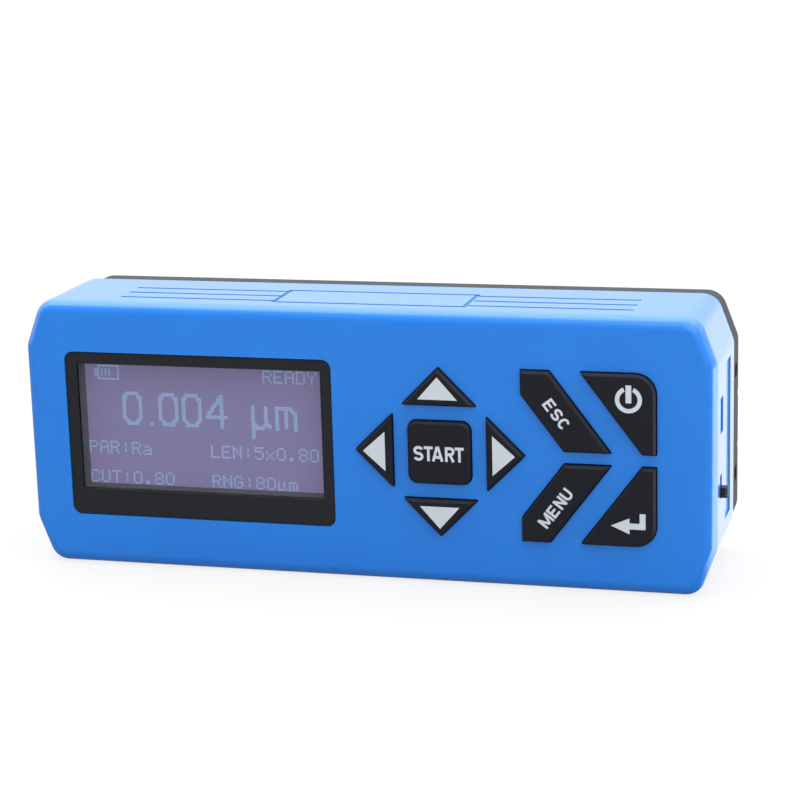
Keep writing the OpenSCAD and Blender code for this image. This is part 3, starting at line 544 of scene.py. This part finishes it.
# %% Signs as pen strokes
STROKES = {
    "0": ["12 32 43 47 38 18 07 03 12"], "4": ["32 38 04 44"],
    "5": ["48 08 06 36 45 43 32 12 03"], "8": ["15 35 44 43 32 12 03 04 15 06 07 18 38 47 46 35"],
    ".": ["12 22 23 13"], ":": ["23 24", "26 27"], "x": ["02 46", "06 42"],
    "m": ["02 06 36 45 42", "26 22"], "u": ["00 06", "03 12 22 33 36", "33 42"],
    "a": ["16 36 45 42 12 03 14 44"], "A": ["02 07 18 38 47 42", "05 45"],
    "C": ["47 38 18 07 03 12 32 43"], "D": ["02 08 38 47 43 32 02"], "E": ["48 08 02 42", "05 35"],
    "G": ["47 38 18 07 03 12 32 43 45 25"], "L": ["08 02 42"], "N": ["02 08 43", "42 48"],
    "P": ["02 08 38 47 46 35 05"], "R": ["02 08 38 47 46 35 05", "25 42"], "T": ["08 48", "28 22"],
    "U": ["08 03 12 32 43 48"], "Y": ["08 07 25 22", "25 47 48"],
}
BASELINE = 2
ADVANCE = 6
lit = set()


def draw(points, nib=(1, 1)):
    """Sets the dots along a run of (column, row) points, with a nib some dots wide and tall."""
    for (x0, z0), (x1, z1) in zip(points, points[1:] or points):
        steps = max(abs(x1 - x0), abs(z1 - z0), 1)
        for step in range(int(steps) + 1):
            x = round(x0 + (x1 - x0) * step / steps)
            z = round(z0 + (z1 - z0) * step / steps)
            lit.update((x + i, z + k) for i in range(nib[0]) for k in range(nib[1]))


def write(words, column, row, wide=1.0, tall=1.0, nib=(1, 1)):
    """Writes signs from a column on, with the baseline on a row."""
    for i, sign in enumerate(words):
        for stroke in STROKES.get(sign, []):
            draw([(column + i * ADVANCE + int(p[0]) * wide, row + (int(p[1]) - BASELINE) * tall)
                  for p in stroke.split()], nib)


COLUMNS, ROWS = 128, 64
TOP_ROW, BIG_ROW, MIDDLE_ROW = 57, 32, 16
BIG_TALL, BIG_NIB, UNIT_WIDE = 2.7, (2, 2), 2.4
for sign, column, wide in (("0", 20, 2.2), ("0", 40, 2.2), ("0", 53, 2.2), ("4", 66, 2.6)):
    write(sign, column, BIG_ROW, wide, BIG_TALL, BIG_NIB)
for sign, column in (("u", 91), ("m", 104)):
    write(sign, column, BIG_ROW, UNIT_WIDE, BIG_TALL, BIG_NIB)
draw([(35, BIG_ROW)], BIG_NIB)
write("READY", COLUMNS - 5 * ADVANCE, TOP_ROW)
write("PAR:Ra", 0, MIDDLE_ROW)
write("LEN:5x0.80", COLUMNS - 10 * ADVANCE, MIDDLE_ROW)
write("CUT:0.80", 0, 0)
write("RNG:80um", COLUMNS - 10 * ADVANCE, 0)
draw([(7, 56), (18, 56), (18, 63), (7, 63), (7, 56)])
draw([(5, 58), (5, 61), (6, 61), (6, 58)])
for bar in (9, 11, 13):
    draw([(bar, 58), (bar, 61)])
print(len(lit), "dots lit")

# %% [markdown]
# ### A tile for each dot
# Each lit dot is a tile a little smaller than the pitch, so that the gaps between the dots stay open.
# The grid sits on the middle of the panel, but for the part of a millimetre by which such displays are off.

# %% Dots as thin tiles on the panel
DOTS_RIGHT_MM = -0.7
DOTS_UP_MM = -0.35
TILE_MM = 0.34
TILE_T_MM = 0.03
panel_low, panel_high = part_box("lcd_panel")
panel_mid = (panel_low + panel_high) / 2
first_dot = Vector((panel_mid.x + (DOTS_RIGHT_MM - COLUMNS / 2 * DOT_MM) * MM, panel_low.y,
                    panel_mid.z + (DOTS_UP_MM - ROWS / 2 * DOT_MM) * MM))
dot_print = finish("lit dots", paint(190, 215, 250), 0.4, cloud=0.03, grain_dep_mm=0.0,
                   Emission_Color=paint(170, 205, 250), Emission_Strength=0.32)

dots_bm = bmesh.new()
tile = Matrix.Diagonal((TILE_MM * MM, TILE_T_MM * MM, TILE_MM * MM, 1.0))
for column, row in sorted(lit):
    at = first_dot + Vector((column * DOT_MM, 0, row * DOT_MM)) * MM
    bmesh.ops.create_cube(dots_bm, size=1.0, matrix=Matrix.Translation(at) @ tile)
make_piece("display_dots", dots_bm, dot_print, "instrument", smooth=False)
print("dots lie", round((panel_low.y - housing_low.y) / MM, 2), "mm behind the front")

# %% [markdown]
# ## The keys
# The keys are moulded in black with a narrow bevel round the top, which catches a thin line of light.
# Their copies get a finer grain than the bezel and three segments on each edge, so that line stays soft.

# %% Key caps
KEY_EDGE_MM = 0.16
key_plastic = finish("black key plastic", paint(30, 31, 40), 0.5, cloud=0.06, grain_mm=0.22,
                     grain_dep_mm=0.004, Specular_IOR_Level=0.22)
KEYS = [name for name in nodes if name.startswith("key_")]
for key in KEYS:
    dressed("cap_" + key[4:], key, key_plastic, KEY_EDGE_MM)

# %% [markdown]
# ## The prints on the keys
# Words and signs are pad-printed in pale grey, a layer a few hundredths of a millimetre thick.
# Each is drawn flat in millimetres first. Solidify gives them all the same thin body, and a quarter turn
# about X stands them on the key they ride on. A little of that body is sunk in the key, so no gap shows.

# %% Print helpers
PRINT_T_MM = 0.04
PRINT_OUT = 0.7
key_face = min(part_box(key)[0].y for key in KEYS)
pale_print = finish("pale key print", paint(204, 213, 221), 0.5, cloud=0.02, grain_dep_mm=0.002)
pad_low, pad_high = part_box("key_start")
pad_mid = (pad_low + pad_high) / 2
upright = Matrix.Rotation(math.pi / 2, 4, "X")


def print_on(key, bm, right_mm, up_mm, turn=0.0):
    """Gives a flat drawing in millimetres its thickness and puts it on a key, measured from the pad."""
    bm.normal_update()
    bmesh.ops.reverse_faces(bm, faces=[f for f in bm.faces if f.normal.z < 0])
    bmesh.ops.solidify(bm, geom=bm.faces[:], thickness=PRINT_T_MM)
    at = Vector((pad_mid.x + right_mm * MM, key_face, pad_mid.z + up_mm * MM))
    bmesh.ops.transform(bm, verts=bm.verts, matrix=Matrix.Translation(at) @ upright
                        @ Matrix.Rotation(turn, 4, "Z") @ Matrix.Scale(MM, 4))
    low = min(v.co.y for v in bm.verts)
    bmesh.ops.translate(bm, verts=bm.verts, vec=(0, key_face - low - PRINT_T_MM * PRINT_OUT * MM, 0))
    bmesh.ops.recalc_face_normals(bm, faces=bm.faces)
    make_piece("print_" + key[4:], bm, pale_print, key, smooth=False)


print("key tops at", round(key_face / MM, 2), "mm")

# %% [markdown]
# ## Lettering with a broad pen
# The words are in a plain condensed sans serif, which a sign-writer draws with one flat nib.
# Each letter is a few pen runs about four units wide and six high, with arcs for the round stretches.
# A curve drags the nib along: its bevel object is a short straight line, so every run becomes a flat strip.
# Runs that cross lie in layers a hair apart, because two faces in one plane would flicker.

# %% Pen and letters
NIB = 1.4
LAYER_MM = 0.004
ARC_STEPS = 16
TOP, FOOT = 6 + NIB / 2, -NIB / 2


def arc(centre_x, centre_y, radius_x, radius_y, start, end):
    """A run of points along part of an ellipse, with angles in degrees."""
    steps = [math.radians(start + (end - start) * k / ARC_STEPS) for k in range(ARC_STEPS + 1)]
    return [(centre_x + radius_x * math.cos(a), centre_y + radius_y * math.sin(a)) for a in steps]


LETTERS = {
    "A": [[(0, FOOT), (2.2, TOP)], [(4.8, FOOT), (2.6, TOP)], [(0.9, 1.4), (3.9, 1.4)]],
    "C": [arc(2, 3, 2, 3, 42, 318)],
    "E": [[(0, FOOT), (0, TOP)], [(0, 6), (4.2, 6)], [(0, 3.1), (3.8, 3.1)], [(0, 0), (4.3, 0)]],
    "M": [[(0, FOOT), (0, TOP)], [(5.8, FOOT), (5.8, TOP)],
          [(0.2, 6.2), (2.9, 0)], [(5.6, 6.2), (2.9, 0)]],
    "N": [[(0, FOOT), (0, TOP)], [(4, FOOT), (4, TOP)], [(0.1, 6.2), (3.9, -0.2)]],
    "R": [[(0, FOOT), (0, TOP)], [(1.9, 3), (3.8, FOOT)],
          [(0, 6), (2.2, 6)] + arc(2.2, 4.5, 1.5, 1.5, 90, -90) + [(0, 3)]],
    "S": [arc(2, 4.5, 2, 1.5, 20, 270) + arc(2, 1.5, 2, 1.5, 90, -160)[1:]],
    "T": [[(-0.4, 6), (4.4, 6)], [(2, 6), (2, FOOT)]],
    "U": [[(0, TOP), (0, 2)] + arc(2, 2, 2, 2, 180, 360) + [(4, TOP)]],
}
# Pairs that a printer sets closer or wider than the rest
KERN = {"ST": -0.25, "TA": -1.5, "AR": 0.7, "RT": -0.4}


def pen_run(curve, points):
    """Adds a straight-sided run to a flat curve."""
    spline = curve.splines.new("POLY")
    spline.points.add(len(points) - 1)
    for point, (x, y) in zip(spline.points, points):
        point.co = (x, y, 0, 1)


def flat_curve(name):
    """A curve in the plane with no filling."""
    curve = bpy.data.curves.new(name, "CURVE")
    curve.dimensions = "2D"
    curve.fill_mode = "NONE"
    holder = bpy.data.objects.new(name, curve)
    bpy.context.scene.collection.objects.link(holder)
    return holder


def lettering(words, length_mm, height_mm, gap):
    """A word as a flat mesh in millimetres, about its middle."""
    nib = flat_curve("nib")
    pen_run(nib.data, [(-NIB / 2, 0), (NIB / 2, 0)])
    bm = bmesh.new()
    for layer in range(max(len(LETTERS[letter]) for letter in words)):
        line = flat_curve(words)
        line.data.bevel_mode = "OBJECT"
        line.data.bevel_object = nib
        at = 0
        for letter, following in zip(words, words[1:] + " "):
            runs = LETTERS[letter]
            for run in runs[layer:layer + 1]:
                pen_run(line.data, [(x + at, y) for x, y in run])
            at += max(x for run in runs for x, y in run) + NIB + gap + KERN.get(letter + following, 0)
        bpy.context.view_layer.update()
        drawn = line.evaluated_get(bpy.context.evaluated_depsgraph_get())
        mesh = bpy.data.meshes.new_from_object(drawn)
        bmesh.ops.translate(bm, verts=bm.verts, vec=(0, 0, LAYER_MM))
        bm.from_mesh(mesh)
        bpy.data.meshes.remove(mesh)
        bpy.data.curves.remove(line.data)
    bpy.data.curves.remove(nib.data)
    low = Vector((min(v.co.x for v in bm.verts), min(v.co.y for v in bm.verts), 0))
    high = Vector((max(v.co.x for v in bm.verts), max(v.co.y for v in bm.verts), 0))
    bmesh.ops.translate(bm, verts=bm.verts, vec=-(low + high) / 2)
    to_size = (length_mm / (high.x - low.x), height_mm / (high.y - low.y), 1)
    bmesh.ops.scale(bm, verts=bm.verts, vec=to_size)
    return bm


print(len(LETTERS), "letters can be drawn")

# %% [markdown]
# ### Words on three keys
# Start, escape and menu carry a word. On the two slanted keys it is turned to run along the slant.

# %% Words on three keys
SLANT = math.radians(52.9)
print_on("key_start", lettering("START", 10.15, 3.2, gap=0.2), right_mm=0.05, up_mm=-0.1)
print_on("key_escape", lettering("ESC", 6.2, 2.4, gap=0.7), right_mm=23.5, up_mm=8.9, turn=-SLANT)
print_on("key_menu", lettering("MENU", 9.0, 2.45, gap=0.7), right_mm=23.2, up_mm=-9.9, turn=SLANT)

# %% [markdown]
# ### Triangles on the arrow keys
# One triangle serves four keys: a circle of three segments, turned to point along X, stretched to its
# measured length and width, and then carried about the pad's middle by quarter turns.

# %% Triangles on the arrow keys
TIP_MM, FOOT_MM, HALF_MM = 15.3, 10.8, 4.0
CIRCLE_RISE = 1.5
for key, turn in (("key_right", 0), ("key_up", 90), ("key_left", 180), ("key_down", 270)):
    sign = bmesh.new()
    bmesh.ops.create_circle(sign, cap_ends=True, segments=3, radius=1.0)
    far = max(sign.verts, key=lambda v: v.co.y)
    turn_to_x = -math.atan2(far.co.y, far.co.x)
    bmesh.ops.rotate(sign, verts=sign.verts, cent=(0, 0, 0), matrix=Matrix.Rotation(turn_to_x, 3, "Z"))
    rise = (TIP_MM - FOOT_MM) / CIRCLE_RISE
    bmesh.ops.scale(sign, verts=sign.verts, vec=(rise, HALF_MM / math.sin(math.pi / 3), 1))
    bmesh.ops.translate(sign, verts=sign.verts, vec=(FOOT_MM + rise / 2, 0, 0))
    print_on(key, sign, right_mm=0, up_mm=0, turn=math.radians(turn))

# %% [markdown]
# ### Power sign and return arrow
# The power sign is the strip between two circles, with a gap on top and a bar that stands in the gap.
# The return arrow is one outline, from its tip round the head and the angled shaft.

# %% Power sign and return arrow
RING_R_MM, RING_W_MM, RING_GAP = 2.6, 0.85, math.radians(24)
RING_STEPS = 90
BAR_W_MM, BAR_L_MM, BAR_UP_MM = 1.1, 3.5, 1.1
power = bmesh.new()
for radius in (RING_R_MM, RING_R_MM - RING_W_MM):
    bmesh.ops.create_circle(power, segments=RING_STEPS, radius=radius)
bmesh.ops.bridge_loops(power, edges=power.edges[:])
open_faces = [f for f in power.faces
              if abs(math.atan2(f.calc_center_median().x, f.calc_center_median().y)) < RING_GAP]
bmesh.ops.delete(power, geom=open_faces, context="FACES")
bar = bmesh.ops.create_grid(power, x_segments=1, y_segments=1, size=0.5)["verts"]
bmesh.ops.scale(power, verts=bar, vec=(BAR_W_MM, BAR_L_MM, 1))
bmesh.ops.translate(power, verts=bar, vec=(0, BAR_UP_MM, 0))
print_on("key_power", power, right_mm=37.5, up_mm=12.2)

HEAD_L_MM, HEAD_HALF_MM, SHAFT_MM = 3.65, 1.6, 1.2
TURN_L_MM, TURN_H_MM, ARM_MM = 6.75, 3.15, 1.15
half = SHAFT_MM / 2
outline = [(0, 0), (HEAD_L_MM, -HEAD_HALF_MM), (HEAD_L_MM, -half), (TURN_L_MM, -half),
           (TURN_L_MM, TURN_H_MM - half), (TURN_L_MM - ARM_MM, TURN_H_MM - half),
           (TURN_L_MM - ARM_MM, half), (HEAD_L_MM, half), (HEAD_L_MM, HEAD_HALF_MM)]
arrow = bmesh.new()
arrow.faces.new([arrow.verts.new((x, y, 0)) for x, y in outline])
print_on("key_enter", arrow, right_mm=33.95, up_mm=-12.8)

# %% [markdown]
# ## The right end: socket and switch
# The data socket is a folded steel shell round a black core, and the switch a black slider.
# Bright steel needs little more than a drawn grain: the noise is stretched along one axis.

# %% Metals, socket and switch
steel = finish("bright steel", paint(196, 198, 200), 0.28, cloud=0.05, grain_mm=0.12, grain_dep_mm=0.002,
               stretch=(0.15, 1.0, 1.0), Metallic=1.0)
dressed("socket_can", "socket_shell", steel, radius_mm=0.06, segments=2)
dressed("socket_tongue", "socket_core", black_plastic, radius_mm=0.06, segments=2)
dressed("switch_slider", "switch_lever", black_plastic, radius_mm=0.15)

# %% [markdown]
# ## Threads
# A thread is one triangle carried round an axis while it moves along it, which is what spin does when it is
# given a shift for each step. The stand's two holes get such a thread in a steel sleeve, as a pressed-in
# insert has, coloured near-black as painted shade for the holes. The lead screw gets one over a thinner
# core.

# %% Sleeves and threads in the stand holes
TURN_STEPS = 24
THREAD_DEP_MM = 0.28
THREAD_HALF = 0.45


def carried_round(bm, start, profile_mm, turns, pitch_mm):
    """Carries a closed (along, radius) profile round the X axis through a start point."""
    loop = [bm.verts.new((start + Vector((along, 0, radius))) * MM) for along, radius in profile_mm]
    edges = [bm.edges.new((loop[i - 1], loop[i])) for i in range(len(loop))]
    closed = pitch_mm == 0
    bmesh.ops.spin(bm, geom=loop + edges, cent=start * MM, axis=(1, 0, 0), angle=2 * math.pi * turns,
                   dvec=(pitch_mm * MM / TURN_STEPS, 0, 0), steps=TURN_STEPS * turns, use_merge=closed)
    if not closed:
        bmesh.ops.holes_fill(bm, edges=[e for e in bm.edges if e.is_boundary], sides=len(loop))


def thread(bm, start, root_mm, crest_mm, pitch_mm, turns):
    """Adds a thread with a triangular section, from a start point in millimetres."""
    half = THREAD_HALF * pitch_mm
    carried_round(bm, start, [(-half, root_mm), (half, root_mm), (0, crest_mm)], turns, pitch_mm)


stand = next(m for m in frame["record"]["mounts"] if m["name"] == "stand_holes")
hole_r = stand["dims"]["hole_r_mm"]
hole_step = Vector((0, 0, stand["dims"]["spacing_y_mm"] / 2))
SLEEVE_L_MM, SLEEVE_IN_MM, SLEEVE_T_MM = 6.5, 0.05, 0.06
STAND_PITCH_MM, STAND_TURNS = 0.7, 8
# The near-black is painted shade: it darkens the holes as their depth would.
shade_black_steel = finish("black steel as painted shade", paint(16, 17, 18), 0.6, cloud=0.1, grain_mm=0.15, Metallic=0.3)
insert_bm = bmesh.new()
for side in (-1, 1):
    start = Vector(stand["pos_m"]) / MM + side * hole_step - Vector((SLEEVE_L_MM, 0, 0))
    inner, outer, end = hole_r - SLEEVE_T_MM, hole_r + SLEEVE_T_MM, SLEEVE_L_MM - SLEEVE_IN_MM
    carried_round(insert_bm, start, [(0, inner), (0, outer), (end, outer), (end, inner)], 1, 0)
    thread(insert_bm, start + Vector((STAND_PITCH_MM / 2, 0, 0)), hole_r, hole_r - THREAD_DEP_MM,
           STAND_PITCH_MM, STAND_TURNS)
bmesh.ops.recalc_face_normals(insert_bm, faces=insert_bm.faces)
inserts = make_piece("stand_inserts", insert_bm, shade_black_steel, "instrument")
print("stand inserts have", len(inserts.data.polygons), "faces")

# %% [markdown]
# ### The lead screw
# Its thread stands on a core that is thinner by the thread's depth, so the screw keeps its outer diameter.
# Only the widest stretch is thinned. The plain journals at its ends stay as they are.

# %% Thread on the lead screw
NEARLY, SUNK = 0.97, 0.98
screw_low, screw_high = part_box("lead_screw")
screw_mid = (screw_low + screw_high) / 2
screw_r = (screw_high.z - screw_low.z) / 2 / MM
LEAD_MM = 1.0
screw_bm = merged_copy("lead_screw")
widest = [v for v in screw_bm.verts if (v.co - screw_mid).yz.length > NEARLY * screw_r * MM]
thread_from, thread_to = min(v.co.x for v in widest) / MM, max(v.co.x for v in widest) / MM
core = 1 - THREAD_DEP_MM / screw_r
bmesh.ops.scale(screw_bm, verts=widest, vec=(1, core, core), space=Matrix.Translation(-screw_mid))
thread(screw_bm, Vector((thread_from + LEAD_MM / 2, screw_mid.y / MM, screw_mid.z / MM)),
       SUNK * core * screw_r, screw_r, LEAD_MM, int((thread_to - thread_from) / LEAD_MM) - 1)
bmesh.ops.recalc_face_normals(screw_bm, faces=screw_bm.faces)
screw = make_piece("threaded_screw", screw_bm, steel, nodes["lead_screw"]["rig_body"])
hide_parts("lead_screw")
print("lead screw has", len(screw.data.polygons), "faces")

# %% [markdown]
# ## Cross recesses in the rear screws
# The four screws that hold the base on have round heads sunk below the rear face, each with a cross recess.
# A plus-shaped face is pushed into a tapered plug, and a Boolean modifier takes the plugs out of the heads.
# The result is made the mesh, so that no modifier depends on a cutter that is deleted afterwards.

# %% Rear screw heads
HEAD_R_MM, ARM_L_MM, ARM_HALF_MM = 2.2, 1.3, 0.3
RECESS_MM, RECESS_OUT_MM, RECESS_TAPER = 1.0, 0.5, 0.6
ARM = ((ARM_L_MM, -ARM_HALF_MM), (ARM_L_MM, ARM_HALF_MM), (ARM_HALF_MM, ARM_HALF_MM))
heads = dressed("screw_heads", "base_screws", steel, radius_mm=0.15)
heads_low, heads_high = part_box("base_screws")
cutter_bm = bmesh.new()
inset = HEAD_R_MM * MM
for x in (heads_low.x + inset, heads_high.x - inset):
    for z in (heads_low.z + inset, heads_high.z - inset):
        points = []
        middle = Vector((x, heads_high.y + RECESS_OUT_MM * MM, z))
        for quarter in range(4):
            turned = Matrix.Rotation(math.pi / 2 * quarter, 3, "Y")
            for across, up in ARM:
                points.append(turned @ Vector((across, 0, -up)) * MM + middle)
        face = cutter_bm.faces.new([cutter_bm.verts.new(point) for point in points])
        pushed = bmesh.ops.extrude_face_region(cutter_bm, geom=[face])["geom"]
        tip = [v for v in pushed if isinstance(v, bmesh.types.BMVert)]
        bmesh.ops.translate(cutter_bm, verts=tip, vec=(0, -(RECESS_OUT_MM + RECESS_MM) * MM, 0))
        bmesh.ops.scale(cutter_bm, verts=tip, vec=(RECESS_TAPER, 1, RECESS_TAPER),
                        space=Matrix.Translation((-x, 0, -z)))
bmesh.ops.recalc_face_normals(cutter_bm, faces=cutter_bm.faces)
cutter_mesh = bpy.data.meshes.new("cross cutter")
cutter_bm.to_mesh(cutter_mesh)
cutter_bm.free()
cutter = bpy.data.objects.new("cross cutter", cutter_mesh)
bpy.context.scene.collection.objects.link(cutter)
cut = heads.modifiers.new("cross", "BOOLEAN")
cut.object = cutter
cut.operation = "DIFFERENCE"
cut.solver = "EXACT"
bpy.context.view_layer.update()
cut_heads = heads.evaluated_get(bpy.context.evaluated_depsgraph_get())
cut_mesh = bpy.data.meshes.new_from_object(cut_heads)
heads.modifiers.clear()
heads.data = cut_mesh
bpy.data.objects.remove(cutter)
print("with their cross recesses the heads have", len(heads.data.polygons), "faces")

# %% [markdown]
# ## Everything inside
# The sealed inner pieces keep their CAD shape. Each still gets the finish of what it is made of,
# so that the part looks right when someone takes it apart.

# %% Inner finishes
bronze = finish("sintered bronze", paint(176, 140, 88), 0.4, cloud=0.12, cloud_mm=2.0, grain_mm=0.15,
                Metallic=1.0)
aluminium = finish("milled aluminium", paint(206, 208, 210), 0.35, grain_mm=0.1, stretch=(1.0, 0.2, 1.0),
                   Metallic=1.0)
silicone = finish("dark silicone", paint(74, 78, 82), 0.7, cloud=0.05, grain_mm=0.5)
lacquer = finish("green board lacquer", paint(24, 104, 62), 0.35, cloud=0.15, cloud_mm=1.5, grain_mm=0.8)
moulding = finish("chip moulding", paint(36, 36, 38), 0.55, cloud=0.08, grain_mm=0.2)
wrap = finish("battery wrap", paint(52, 80, 112), 0.3, cloud=0.06, cloud_mm=6.0)
white_plastic = finish("white light guide", paint(236, 238, 240), 0.4, cloud=0.02)
by_slot = {
    "steel": steel, "aluminium": aluminium, "bronze": bronze, "silicone": silicone, "board": lacquer,
    "board_parts": moulding, "battery_wrap": wrap, "white_plastic": white_plastic,
    "black_plastic": black_plastic, "grey_plastic": grey_plastic, "key_plastic": key_plastic,
    "display": panel_glass,
}
for name, node in nodes.items():
    if not node.hide_render and slot_of[name] in by_slot:
        node.data.materials.clear()
        node.data.materials.append(by_slot[slot_of[name]])
print("still plain:", [n for n, o in nodes.items() if not o.hide_render and slot_of[n] not in by_slot])
